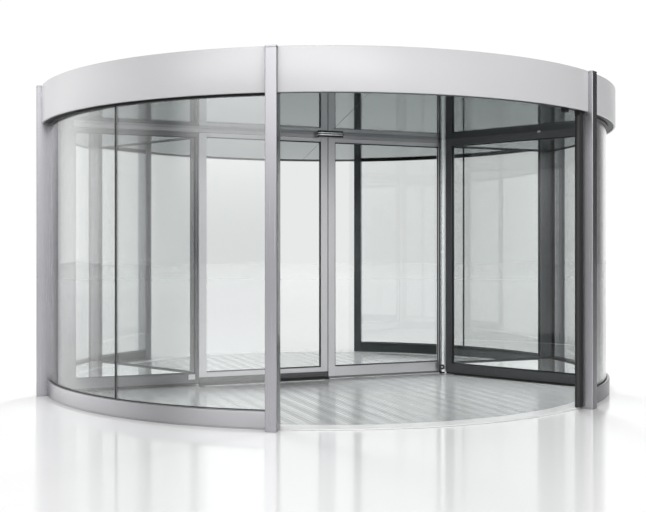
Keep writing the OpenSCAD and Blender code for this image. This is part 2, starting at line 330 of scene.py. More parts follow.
post_metal = anodised("post_anodised", (0.30, 0.296, 0.312), 0.26, lines_at=(260.0, 260.0, 1.5))
cap_gap = 0.004
cap_high = 0.012
cap_foot = post_high - cap_high
shaft_head = cap_foot - cap_gap
neck_step = 0.004
neck_share = 0.92
overlap = 0.002
shade_layer_thick = 0.002
post_back = post_inner + shade_layer_thick
post_middle = (post_inner + post_outer) / 2
post_plan = rounded_plan(oblong(post_back, -post_half, post_outer, post_half), post_corner)
neck_plan = [(x + (neck_step if x < post_middle else -neck_step), y * neck_share) for x, y in post_plan]
for group in ("front", "rear", "side"):
    shafts = bmesh.new()
    for place, angle in post_angles.items():
        if place.startswith(group):
            add_prism(shafts, turn_plan(post_plan, angle), 0, shaft_head)
            add_prism(shafts, turn_plan(neck_plan, angle), shaft_head - overlap, cap_foot + overlap)
            add_prism(shafts, turn_plan(post_plan, angle), cap_foot, post_high)
    finish_piece(group + "_post_shafts", shafts, post_metal, "drum", [group + "_posts"],
                 bevel=0.0008)

# Painted shade: the nearly black strips on four posts' inner faces, and the plinths' liners, stand in for the
# shade on those faces.
inner_shade_metal = anodised("inner_face_painted_shade", (0.075, 0.082, 0.084), 0.30)
shade_strip_margin = 0.001
shade_layer_sunk = 0.0005
shade_strip_foot = 0.004
shade_strip_stop = 0.05
shade_strip_plan = oblong(post_inner, -post_half + shade_strip_margin, post_back + shade_layer_sunk, post_half - shade_strip_margin)
painted_shade_strips = bmesh.new()
for place in ("front_left", "rear_right", "side_left", "side_right"):
    add_prism(painted_shade_strips, turn_plan(shade_strip_plan, post_angles[place]), shade_strip_foot, post_high - shade_strip_stop)
finish_piece("post_inner_painted_shade", painted_shade_strips, inner_shade_metal, "drum")

# ---------------------------------------------------------------------------------------------
# Fascia: the deep light silver band round the canopy, rolled from sheet in six lengths between
# the posts, with a rounded lip turned in below and a narrow return over the roof edge.
# ---------------------------------------------------------------------------------------------
fascia_low, fascia_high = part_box("fascia_front")
fascia_radius = -fascia_low.y
fascia_foot = fascia_low.z
fascia_head = fascia_high.z
sheet = 0.006
lip_reach = 0.015
return_reach = 0.035
lip_round = 0.005
head_round = 0.003
bays = {"front": [(240, 300)], "rear": [(60, 120)],
        "left": [(120, 180), (180, 240)], "right": [(-60, 0), (0, 60)]}


def add_ring_bar(bm, profile, start, end, step=1.0):
    """A closed bar with an (r, z) section, swept about the axis between two angles in degrees."""
    count = max(2, math.ceil((end - start) / step)) + 1
    loops = []
    for i in range(count):
        a = math.radians(start + (end - start) * i / (count - 1))
        loops.append([bm.verts.new((r * math.cos(a), r * math.sin(a), z)) for r, z in profile])
    join_loops(bm, loops)
    bm.faces.new(loops[0])
    bm.faces.new(list(reversed(loops[-1])))


def beside_post(radius):
    """The angle that half a post takes up in a ring of this radius."""
    return math.degrees(math.asin(post_half / radius))


def arc(centre_x, centre_y, radius, first, last, steps):
    """Points round an arc between two angles in degrees."""
    angles = [math.radians(first + (last - first) * k / steps) for k in range(steps + 1)]
    return [(centre_x + radius * math.cos(a), centre_y + radius * math.sin(a)) for a in angles]


def satin_paint(name, colour, roughness, coat=0.0, metallic=0.0):
    """Sprayed metal coating with a faint orange peel and a slight drift in tone."""
    paint = Finish(name, {"Metallic": metallic, "Coat Weight": coat, "Coat Roughness": 0.12})
    speck = paint.noise(420.0, 2.0)
    paint.drift(paint.noise(1.1, 2.0), colour, 0.03)
    paint.gloss(speck, roughness * 0.9, roughness * 1.1)
    paint.relief(speck, 0.03, 0.0003)
    return paint.material


fascia_paint = satin_paint("fascia_silver", (0.63, 0.63, 0.642), 0.34, metallic=0.08, coat=0.1)
fascia_back = fascia_radius - sheet
fascia_return = fascia_radius - return_reach
inner_lip = fascia_radius - lip_reach
fascia_profile = [(inner_lip, fascia_foot)]
fascia_profile += arc(fascia_radius - lip_round, fascia_foot + lip_round, lip_round, -90, 0, 4)
fascia_profile += arc(fascia_radius - head_round, fascia_head - head_round, head_round, 0, 90, 3)
fascia_profile += [(fascia_return, fascia_head), (fascia_return, fascia_head - sheet),
                   (fascia_back, fascia_head - sheet), (fascia_back, fascia_foot + sheet),
                   (inner_lip, fascia_foot + sheet)]
trim = beside_post(fascia_radius)
for side, spans in bays.items():
    band = bmesh.new()
    for start, end in spans:
        add_ring_bar(band, fascia_profile, start + trim, end - trim, 0.75)
    finish_piece("fascia_" + side + "_band", band, fascia_paint, "drum", ["fascia_" + side],
                 sharp=40)

# ---------------------------------------------------------------------------------------------
# Recess ring: the black channel that holds the top of the curved glass, with the dark gap
# between the fascia lip and the turning ceiling. Folded steel, painted black.
# ---------------------------------------------------------------------------------------------
recess_low, recess_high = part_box("head_ring")
channel_outer = 2.430
recess_foot = fascia_foot + 0.005
recess_outer = inner_lip - 0.0005
black_paint = satin_paint("black_channel_paint", (0.012, 0.012, 0.013), 0.45)
gap_profile = oblong(post_inner, recess_foot, recess_outer, recess_high.z)
channel_profile = oblong(post_inner, recess_low.z, channel_outer, recess_foot)
walls = bays["right"] + bays["left"]
doorways = bays["front"] + bays["rear"]
trim = beside_post(channel_outer)
recess = bmesh.new()
for start, end in walls + doorways:
    add_ring_bar(recess, gap_profile, start + trim, end - trim)
for start, end in walls:
    add_ring_bar(recess, channel_profile, start + trim, end - trim)
finish_piece("recess_ring", recess, black_paint, "drum", ["head_ring"], bevel=0.001)

# ---------------------------------------------------------------------------------------------
# Canopy roof: flat sheet panels laid between the fascia returns, with raised seams between them
# and a crown plate in the middle, painted plain grey. It is seen only from above.
# ---------------------------------------------------------------------------------------------
roof_low, roof_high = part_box("canopy_roof")
roof_rim = -roof_low.y
roof_margin = 0.012
roof_sheet = roof_high.z - 0.006
seam_half = 0.010
seam_foot = roof_high.z - 0.008
crown_radius = 0.15


def add_ring(bm, profile):
    """A closed ring with an (r, z) section, swept the whole way about the axis."""
    loops = []
    for k in range(360):
        a = math.radians(k)
        loops.append([bm.verts.new((r * math.cos(a), r * math.sin(a), z)) for r, z in profile])
    join_loops(bm, loops + loops[:1])


def round_plan(radius, step=1):
    """The plan of a disc about the axis, with a corner every so many degrees."""
    return arc(0, 0, radius, 0, 360 - step, 360 // step - 1)


roof_paint = satin_paint("roof_sheet", (0.56, 0.57, 0.58), 0.5)
roof = bmesh.new()
add_ring(roof, oblong(0.02, roof_low.z, roof_rim - roof_margin, roof_sheet))
seam = oblong(0.12, -seam_half, roof_rim - 0.05, seam_half)
for k in range(12):
    add_prism(roof, turn_plan(seam, 15 + 30 * k), seam_foot, roof_high.z - 0.0005)
add_prism(roof, round_plan(crown_radius, 10), seam_foot, roof_high.z)
finish_piece("roof_sheets", roof, roof_paint, "drum", ["canopy_roof"], bevel=0.0015)

# ---------------------------------------------------------------------------------------------
# Plinths: the low curved skirting under the drum glass, a satin extrusion with a rounded top
# edge, a shadow line at the floor, a bed for the glass, and a thin dark liner on its inner face
# that is painted shade.
# ---------------------------------------------------------------------------------------------
plinth_outer = 2.443
plinth_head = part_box("plinth_left")[1].z
plinth_round = 0.006
plinth_back = post_inner + shade_layer_thick
shadow_line = 0.004
bed_outer = 2.4265
bed_inner = 2.4035
bed_floor = plinth_head - 0.004
plinth_metal = anodised("plinth_anodised", (0.35, 0.346, 0.362), 0.34)
plinth_profile = [(plinth_back, 0.0), (plinth_outer - shadow_line, 0.0), (plinth_outer - shadow_line, 0.008),
                  (plinth_outer, 0.011)]
plinth_profile += arc(plinth_outer - plinth_round, plinth_head - plinth_round, plinth_round, 0, 90, 4)
plinth_profile += [(bed_outer, plinth_head), (bed_outer, bed_floor), (bed_inner, bed_floor),
                   (plinth_back, bed_floor - 0.001)]
# Painted shade: the liner is nearly black to stand in for the shade on the plinth's inner face.
shade_liner_profile = oblong(post_inner, 0.001, plinth_back + shade_layer_sunk, plinth_head - 0.006)
trim = beside_post(plinth_outer)
for side in ("left", "right"):
    bars = bmesh.new()
    shade_liners = bmesh.new()
    for start, end in bays[side]:
        add_ring_bar(bars, plinth_profile, start + trim, end - trim)
        add_ring_bar(shade_liners, shade_liner_profile, start + trim, end - trim)
    name = "plinth_" + side
    finish_piece(name + "_bars", bars, plinth_metal, "drum", [name], sharp=35)
    finish_piece(name + "_painted_shade_liners", shade_liners, inner_shade_metal, "drum")

# ---------------------------------------------------------------------------------------------
# Drum glass: two curved laminated panes in each bay, butted at black silicone joints, bedded in
# a black gasket on the plinth and held at the head by the recess ring.
# ---------------------------------------------------------------------------------------------
glass_inner = 2.406
glass_outer = glass_inner + 0.012
glass_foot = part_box("wall_glass_left")[0].z
glass_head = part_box("wall_glass_left")[1].z
joint_half = 0.007
bead_proud = 0.001


def clear_glass(name, tint, face_on):
    """Polished clear glass: it passes tinted light, and mirrors a share that grows at a slant."""
    glass = Finish(name)
    output = glass.tree.nodes["Material Output"]
    glass.tree.nodes.remove(glass.shader)
    through = glass.add("ShaderNodeBsdfTransparent", Color=(*tint, 1))
    mirror = glass.add("ShaderNodeBsdfGlossy", Roughness=0.01, Color=(1, 1, 1, 1))
    slant = glass.add("ShaderNodeLayerWeight", Blend=0.5)
    steep = glass.add("ShaderNodeMath", operation="POWER")
    steep.inputs[1].default_value = 5.0
    glass.link(slant.outputs["Facing"], steep.inputs[0])
    share = glass.add("ShaderNodeMath", operation="MULTIPLY_ADD")
    share.inputs[1].default_value = 1.0 - face_on
    share.inputs[2].default_value = face_on
    glass.link(steep.outputs[0], share.inputs[0])
    both = glass.add("ShaderNodeMixShader")
    glass.link(share.outputs[0], both.inputs[0])
    glass.link(through.outputs[0], both.inputs[1])
    glass.link(mirror.outputs[0], both.inputs[2])
    glass.link(both.outputs[0], output.inputs["Surface"])
    return glass.material


drum_glass = clear_glass("drum_glass_clear", (0.950, 0.956, 0.956), 0.07)
half_joint = math.degrees(math.asin(joint_half / glass_inner))
pane_profile = oblong(glass_inner, glass_foot, glass_outer, glass_head)
trim = beside_post(glass_inner)
for side in ("left", "right"):
    panes = bmesh.new()
    for start, end in bays[side]:
        middle = (start + end) / 2
        add_ring_bar(panes, pane_profile, start + trim, middle - half_joint, 0.75)
        add_ring_bar(panes, pane_profile, middle + half_joint, end - trim, 0.75)
    finish_piece("drum_panes_" + side, panes, drum_glass, "drum", ["wall_glass_" + side],
                 sharp=40)

silicone = Finish("black_silicone", {"Roughness": 0.55})
grit = silicone.noise(260.0, 3.0)
silicone.colour(silicone.ramp(grit, (0.006, 0.006, 0.006), (0.022, 0.022, 0.022)))
silicone.relief(grit, 0.15, 0.0004)
rubber = silicone.material
bead_profile = oblong(glass_inner - bead_proud, glass_foot, glass_outer + bead_proud, glass_head)
gasket_profile = [(bed_inner, glass_foot - 0.006), (bed_outer - 0.006, glass_foot - 0.006),
                  (bed_outer - 0.007, glass_foot), (bed_inner + 0.001, glass_foot)]
joints = bmesh.new()
gaskets = bmesh.new()
for start, end in walls:
    middle = (start + end) / 2
    add_ring_bar(joints, bead_profile, middle - half_joint, middle + half_joint, 0.1)
    add_ring_bar(gaskets, gasket_profile, start + trim, end - trim)
finish_piece("silicone_beads", joints, rubber, "drum", ["silicone_joints"], bevel=0.001)
finish_piece("gasket_strips", gaskets, rubber, "drum", ["glass_gaskets"])

# ---------------------------------------------------------------------------------------------
# Floor ring: a flat brushed threshold ring round the mat, wider in the doorways, laid in bent
# lengths with a dark joint towards its outer edge.
# ---------------------------------------------------------------------------------------------
ring_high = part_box("floor_ring")[1]
ring_inner = 2.300
ring_outer = ring_high.x
ring_top = ring_high.z
joint_inner = 2.378
joint_outer = 2.382
doorway_outer = 2.428
sill_inner = ring_outer - 0.0005
ring_metal = anodised("ring_brushed", (0.86, 0.86, 0.865), 0.30, metallic=0.25)
sill_profile = [(sill_inner, 0), (doorway_outer, 0), (doorway_outer, ring_top - 0.003),
                (doorway_outer - 0.004, ring_top), (sill_inner, ring_top)]
ring_bars = bmesh.new()
add_ring(ring_bars, oblong(ring_inner, 0, joint_inner, ring_top))
add_ring(ring_bars, oblong(joint_outer, 0, ring_outer, ring_top))
trim = beside_post(doorway_outer)
for start, end in doorways:
    add_ring_bar(ring_bars, sill_profile, start + trim, end - trim)
finish_piece("floor_ring_bars", ring_bars, ring_metal, "drum", ["floor_ring"], bevel=0.001)

# ---------------------------------------------------------------------------------------------
# Entrance mat: narrow aluminium strips with ribbed textile between them, cut to a circle, with
# every fourth strip a broader one. It lies in the floor ring.
# ---------------------------------------------------------------------------------------------
mat_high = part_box("entrance_mat")[1].z
mat_radius = ring_inner - 0.002
strip_pitch = 0.030
strip_width = 0.004
broad_width = 0.010
broad_every = 4
shortest_strip = 0.05
pile_high = mat_high - 0.002
mat_metal = anodised("mat_strip_metal", (0.88, 0.89, 0.89), 0.20, metallic=0.6)
textile = Finish("mat_textile", {"Roughness": 0.22, "Metallic": 0.75})
loops = textile.noise(340.0, 4.0, 0.7)
stain = textile.noise(2.2, 3.0)
lanes = textile.add("ShaderNodeTexWave", bands_direction="X", Scale=2.4, Distortion=0.5, Detail=2.0)
textile.link(textile.place(), lanes.inputs["Vector"])
woven = textile.add("ShaderNodeMath", operation="MULTIPLY_ADD")
woven.inputs[1].default_value = 0.30
textile.link(loops, woven.inputs[0])
textile.link(lanes.outputs["Fac"], woven.inputs[2])
patch = textile.add("ShaderNodeMix", data_type="RGBA", blend_type="MULTIPLY")
patch.inputs[0].default_value = 0.25
textile.link(textile.ramp(woven.outputs[0], (0.47, 0.49, 0.49), (0.74, 0.76, 0.755)), patch.inputs[6])
textile.link(stain, patch.inputs[7])
textile.colour(patch.outputs[2])
textile.relief(loops, 0.06, 0.001)
pile = bmesh.new()
add_prism(pile, round_plan(mat_radius), 0, pile_high)
finish_piece("mat_pile", pile, textile.material, "drum", ["entrance_mat"])
strips = bmesh.new()
reach = int(mat_radius / strip_pitch)
for k in range(-reach, reach + 1):
    x = k * strip_pitch
    wide = broad_width if k % broad_every == 0 else strip_width
    long = math.sqrt(max(0.0, mat_radius ** 2 - (abs(x) + wide) ** 2))
    if long > shortest_strip:
        add_prism(strips, oblong(x - wide / 2, -long, x + wide / 2, long), pile_high - 0.001, mat_high)
finish_piece("mat_strips", strips, mat_metal, "drum")

# ---------------------------------------------------------------------------------------------
# Safety bumper: a soft black rubber tube down the closing post of the outer doorway, clipped to
# its side face, with a black steel bracket over it and a small sensor eye beside that.
# ---------------------------------------------------------------------------------------------
bumper_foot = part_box("safety_bumpers")[0].z
bumper_angle = post_angles["front_right"]
bumper_inner = 2.403
bumper_outer = 2.449
bumper_round = (bumper_outer - bumper_inner) / 2
bumper_reach = 0.060
bumper_head = 2.170
bracket_reach = 0.048
clip_face = -post_half - 0.008
tube_face = -post_half - 0.010
sensor_turn = -6.5
sensor_drop = 0.030
bumper_plan = [(bumper_inner, -post_half), (bumper_inner, clip_face), (bumper_inner + 0.002, tube_face)]
bumper_far = -post_half - bumper_reach
bumper_plan += arc(bumper_inner + bumper_round, bumper_far + bumper_round, bumper_round, 180, 360, 12)
bumper_plan += [(bumper_outer - 0.002, tube_face), (bumper_outer, clip_face), (bumper_outer, -post_half)]
tube = bmesh.new()
add_prism(tube, turn_plan(bumper_plan, bumper_angle), bumper_foot, bumper_head)
finish_piece("bumper_tube", tube, rubber, "drum", ["safety_bumpers"], sharp=50)
bracket = bmesh.new()
holder = oblong(bumper_inner, -post_half - bracket_reach, bumper_outer, -post_half)
add_prism(bracket, turn_plan(holder, bumper_angle), bumper_head + 0.001, recess_foot)
sensor_plan = oblong(2.412, -0.022, 2.448, 0.022)
add_prism(bracket, turn_plan(sensor_plan, bumper_angle + sensor_turn), recess_foot - sensor_drop, recess_foot)
finish_piece("bumper_bracket", bracket, black_paint, "drum", bevel=0.0015)

# ---------------------------------------------------------------------------------------------
# Roof bearing and rotor hub: the machined steel ring under the roof and the shaft that turns in
# it with the rotor. Both are closed in above the ceiling, so they keep their plain shapes.
# ---------------------------------------------------------------------------------------------
drive_steel = satin_paint("drive_steel_dark", (0.16, 0.16, 0.17), 0.4, metallic=0.8)
for hidden in ("roof_bearing", "rotor_hub"):
    nodes[hidden].data.materials.clear()
    nodes[hidden].data.materials.append(drive_steel)

# ---------------------------------------------------------------------------------------------
# Turning ceiling: twelve high-gloss grey panels with fine radial joints, fixed under a dark
# carrier plate, which turn with the rotor. They mirror the mat and the frames.
# ---------------------------------------------------------------------------------------------
ceiling_low, ceiling_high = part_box("rotor_ceiling")
ceiling_radius = ceiling_high.x
ceiling_foot = ceiling_low.z
ceiling_gap = 0.003
panel_thick = 0.008
panel_turn = 30
panel_gloss = Finish("ceiling_gloss_grey", {"Metallic": 1.0, "Base Color": (0.46, 0.485, 0.485, 1),
                                            "Specular Tint": (0.58, 0.605, 0.605, 1)})
ripple = panel_gloss.noise(1.4, 1.0)
panel_gloss.relief(ripple, 0.05, 0.004)
panel_gloss.gloss(ripple, 0.04, 0.09)
ceiling_gloss = panel_gloss.material
edge = math.degrees(ceiling_gap / 2 / ceiling_radius)
tip = ceiling_gap / 2 / math.sin(math.radians(panel_turn / 2))
panels = bmesh.new()
for k in range(12):
    first = 15 + panel_turn * k
    outline = arc(0, 0, ceiling_radius, first + edge, first + panel_turn - edge, 30)
    outline += turn_plan([(tip, 0)], first + panel_turn / 2)
    add_prism(panels, outline, ceiling_foot, ceiling_foot + panel_thick)
finish_piece("ceiling_panels", panels, ceiling_gloss, "rotor", bevel=0.0006)
carrier = bmesh.new()
add_prism(carrier, round_plan(ceiling_radius - 0.004), ceiling_foot + panel_thick, ceiling_high.z)
finish_piece("ceiling_carrier", carrier, black_paint, "rotor", ["rotor_ceiling"])

# ---------------------------------------------------------------------------------------------
# Header track: the shallow extrusion under the ceiling that carries the sliding leaves, with a
# running slot below. Anodised like the rotor's frames.
# ---------------------------------------------------------------------------------------------
track_low, track_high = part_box("header_track")
slot_half = 0.008
slot_deep = 0.012
rotor_metal = anodised("rotor_frame_anodised", (0.36, 0.36, 0.375), 0.32)
track = bmesh.new()
for y_low, y_high, foot in ((track_low.y, -slot_half, track_low.z), (slot_half, track_high.y, track_low.z),
                            (-slot_half, slot_half, track_low.z + slot_deep)):
    add_prism(track, oblong(track_low.x, y_low, track_high.x, y_high), foot, track_high.z)
finish_piece("track_extrusion", track, rotor_metal, "rotor", ["header_track"], bevel=0.001)

# ---------------------------------------------------------------------------------------------
# Presence sensors: one shallow pod each side of the sliding door, under the ceiling: a black
# window body with a bright silver rim round its upper part.
# ---------------------------------------------------------------------------------------------
pod_low, pod_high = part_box("door_sensors")
pod_long = pod_high.x
pod_y = 0.075
pod_half = 0.045
window_inset = 0.006
window_black = Finish("sensor_window", {"Roughness": 0.08})
smoke = window_black.add("ShaderNodeTexNoise", Scale=900.0, Detail=1.0).outputs["Fac"]
window_black.colour(window_black.ramp(smoke, (0.008, 0.008, 0.009), (0.018, 0.018, 0.02)))
bright_rim = anodised("sensor_rim_metal", (0.85, 0.85, 0.86), 0.18, metallic=1.0)


def pod_plan(grow):
    """The round-ended plan of a sensor pod, made larger or smaller by grow."""
    straight = pod_long - pod_half
    right_end = arc(straight, -pod_y, pod_half + grow, -90, 90, 12)
    left_end = arc(-straight, -pod_y, pod_half + grow, 90, 270, 12)
    return right_end + left_end


for mark, turn in (("a", 0), ("b", 180)):
    pod = bmesh.new()
    add_prism(pod, turn_plan(pod_plan(-window_inset), turn), pod_low.z, pod_high.z - 0.012)
    finish_piece("sensor_window_" + mark, pod, window_black.material, "rotor", bevel=0.004)
    rim = bmesh.new()
    add_prism(rim, turn_plan(pod_plan(0), turn), pod_high.z - 0.014, pod_high.z - 0.002)
    rim_piece = finish_piece("sensor_rim_" + mark, rim, bright_rim, "rotor", bevel=0.003)
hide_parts("door_sensors")

# ---------------------------------------------------------------------------------------------
# Showcases: two tall glazed cases on the rotor, each with a side panel along the sliding door, a
# wing panel that leans away from it and a curved wall towards the drum. The frames are anodised
# profiles, coloured dark as painted shade, drawn here for the right one and turned by half a
# turn for the left.
# ---------------------------------------------------------------------------------------------
case_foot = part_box("showcase_right_bottom_rails")[0].z
case_top = ceiling_foot
rail_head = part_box("showcase_right_bottom_rails")[1].z
top_rail_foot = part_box("showcase_right_top_rails")[0].z
panel_half = 0.025
panel_middle = 0.053
panel_face = 0.085
corner_x = 1.160
wing_angle = math.radians(62)
nose_radius = 2.357
column_long = 0.140
column_nose_half = 0.010
side_stile_end = 1.207
wing_stile_end = 0.065
trim_round = 0.022
trim_centre = Vector((1.1430, -0.0630))
along_wing = Vector((math.cos(wing_angle), -math.sin(wing_angle)))
across_wing = Vector((math.sin(wing_angle), math.cos(wing_angle)))


def wing_point(along, across):
    """A plan point on the wing panel: so far from the corner, and so far in from its front face."""
    return Vector((corner_x, -panel_face)) + along * along_wing + across * across_wing


def radius_on_wing(radius, across=panel_half):
    """How far along the wing its plan line reaches a given radius from the rotor's axis."""
    start = wing_point(0, across)
    forward = start.dot(along_wing)
    return math.sqrt(forward ** 2 - start.length_squared + radius ** 2) - forward


def column_plan(root, along):
    """The plan of an end column: as thick as its panel at the root, with both faces bowed to a nose."""
    across = Vector((-along.y, along.x))
    drop = panel_half - column_nose_half
    bow = (column_long ** 2 + drop ** 2) / (2 * drop)
    stations = [column_long * i / 14 for i in range(15)]
    spread = [math.sqrt(bow ** 2 - s ** 2) - bow + panel_half for s in stations]
    stations[-1] -= 0.003
    spread += [column_nose_half - 0.003]
    stations += [column_long]
    one_side = [Vector(root) + along * s + across * h for s, h in zip(stations, spread)]
    other_side = [Vector(root) + along * s - across * h for s, h in zip(stations, spread)]
    return one_side + other_side[::-1]


def add_bar(bm, start, end, profile):
    """A straight closed bar between two plan points; its profile is (offset to the left, height)."""
    along = (Vector(end) - Vector(start)).normalized()
    across = Vector((-along.y, along.x))
    loops = [[bm.verts.new((*(Vector(place) + across * d), z)) for d, z in profile] for place in (start, end)]
    join_loops(bm, loops)
    bm.faces.new(loops[0])
    bm.faces.new(list(reversed(loops[1])))


def two_sided(half_profile):
    """A closed profile from the outline of its left half, mirrored to the right."""
    return half_profile + [(-d, z) for d, z in reversed(half_profile)]


def turned(points):
    """Plan points of the right-hand side, turned round to the side that is being made."""
    return turn_plan(points, turn)


def bristles(name, dark, light):
    """Dense upright nylon bristles in one tone, with fine vertical streaks."""
    nylon = Finish(name, {"Roughness": 0.8})
    hairs = nylon.noise(1.0, 2.0, stretch=(900.0, 900.0, 6.0))
    nylon.colour(nylon.ramp(hairs, (dark, dark, dark), (light, light, light)))
    nylon.relief(hairs, 0.6, 0.001)
    return nylon.material


# Painted shade: the showcase frames share the leaf frames' anodising, coloured far darker to stand in for the
# shade on them.
shaded_frame_metal = anodised("showcase_frame_painted_shade", (0.125, 0.128, 0.134), 0.28)
# Painted highlight: the rounded corner trim is coloured light to stand in for the highlight on its curve.
highlight_trim_metal = anodised("corner_trim_painted_highlight", (0.62, 0.64, 0.64), 0.25)
case_glass = clear_glass("rotor_glass_clear", (0.874, 0.884, 0.881), 0.035)
brush_fibre = bristles("brush_fibre_black", 0.004, 0.030)
white_plastic = satin_paint("white_plastic", (0.80, 0.80, 0.80), 0.35)
case_white = Finish("showcase_white_gloss", {"Base Color": (0.98, 0.99, 0.99, 1), "Metallic": 0.92})
case_white.gloss(case_white.noise(2.0, 1.0), 0.02, 0.05)

wing_end = radius_on_wing(nose_radius)
wing_column = wing_end - column_long
side_column = nose_radius - column_long
curve_inner = 2.322
curve_outer = 2.354
curve_glass_in = 2.333
curve_glass_out = 2.343
edge_round = 0.002
groove = 0.0015
bead_wide = 0.009
bead_lip = 0.0055
rail_half = [(panel_half, case_foot), (panel_half, 0.046), (panel_half - groove, 0.0475),
             (panel_half - groove, 0.0495), (panel_half, 0.051), (panel_half, rail_head - 0.003),
             (panel_half - 0.003, rail_head)]
head_half = [(panel_half - 0.003, top_rail_foot), (panel_half, top_rail_foot + 0.003), (panel_half, case_top)]
bead_half = [(bead_wide, rail_head - 0.001), (bead_wide, rail_head + 0.004), (bead_lip, rail_head + 0.008)]
top_bead_half = [(bead_wide, top_rail_foot + 0.001), (bead_wide, top_rail_foot - 0.004),
                 (bead_lip, top_rail_foot - 0.008)]
upright_half = [(bead_wide, rail_head), (bead_wide, top_rail_foot)]
pane_half = [(0.005, rail_head), (0.005, top_rail_foot)]
plate_thick = 0.008
tray_margin = 0.0005
plate_margin = 0.004
base_foot, base_head = [corner.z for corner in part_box("showcase_right_base")]
soffit_foot, soffit_head = [corner.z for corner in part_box("showcase_right_soffit")]
brush_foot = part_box("showcase_right_brushes")[0].z
brush_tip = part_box("showcase_right_brushes")[1].x
brush_root_half = 0.006
brush_tip_half = 0.003
skirt_root_half = 0.020
skirt_tip_half = 0.016
pivot_facing = math.radians(228)
pivot_out = Vector((math.cos(pivot_facing), math.sin(pivot_facing)))
pivot_side = Vector((-pivot_out.y, pivot_out.x))
pivot_centre = trim_centre + pivot_out * (trim_round - 0.003)
pivot_high = 0.080


def curve_angles(radius):
    """Where a curved bar of this radius meets the wing's and the side panel's end columns, in degrees."""
    wing_meets = wing_point(radius_on_wing(radius, panel_half + 0.006), panel_half + 0.006)
    side_meets = math.degrees(math.asin((panel_middle + 0.006) / radius))
    return math.degrees(math.atan2(wing_meets.y, wing_meets.x)), -side_meets


def add_curved_bar(bm, profile, radius, step=1.0):
    """A bar of the curved wall, between the two end columns of the side that is being made."""
    first, last = curve_angles(radius)
    add_ring_bar(bm, profile, first + turn, last + turn, step)


def case_floor_plan(inset):
    """The plan of the space between the three walls of a showcase, less an even margin."""
    side_y = -panel_middle - panel_half - inset
    across = 2 * panel_half + inset
    apex_along = (side_y + panel_face - across * across_wing.y) / along_wing.y
    edge = curve_inner - inset
    far_wing = wing_point(radius_on_wing(edge, across), across)
    first = math.degrees(math.atan2(far_wing.y, far_wing.x))
    last = -math.degrees(math.asin(-side_y / edge))
    return [wing_point(apex_along, across)] + arc(0, 0, edge, first, last, 40)


def clip_plan(along, long, proud):
    """A small oblong against the wing's front face."""
    return [wing_point(s, d) for s, d in oblong(along - long / 2, -proud, along + long / 2, 0.002)]


def add_disc(bm, radius, reach):
    """A round fitting on the corner trim, with a slightly softened face."""
    loops = []
    for out_by, size in ((-0.004, radius), (reach - 0.002, radius), (reach, radius - 0.002)):
        rim = []
        for k in range(24):
            a = 2 * math.pi * k / 24
            x, y = turned([pivot_centre + pivot_out * out_by + pivot_side * (size * math.cos(a))])[0]
            rim.append(bm.verts.new((x, y, pivot_high + size * math.sin(a))))
        loops.append(rim)
    join_loops(bm, loops)
    bm.faces.new(loops[0])
    bm.faces.new(loops[-1])


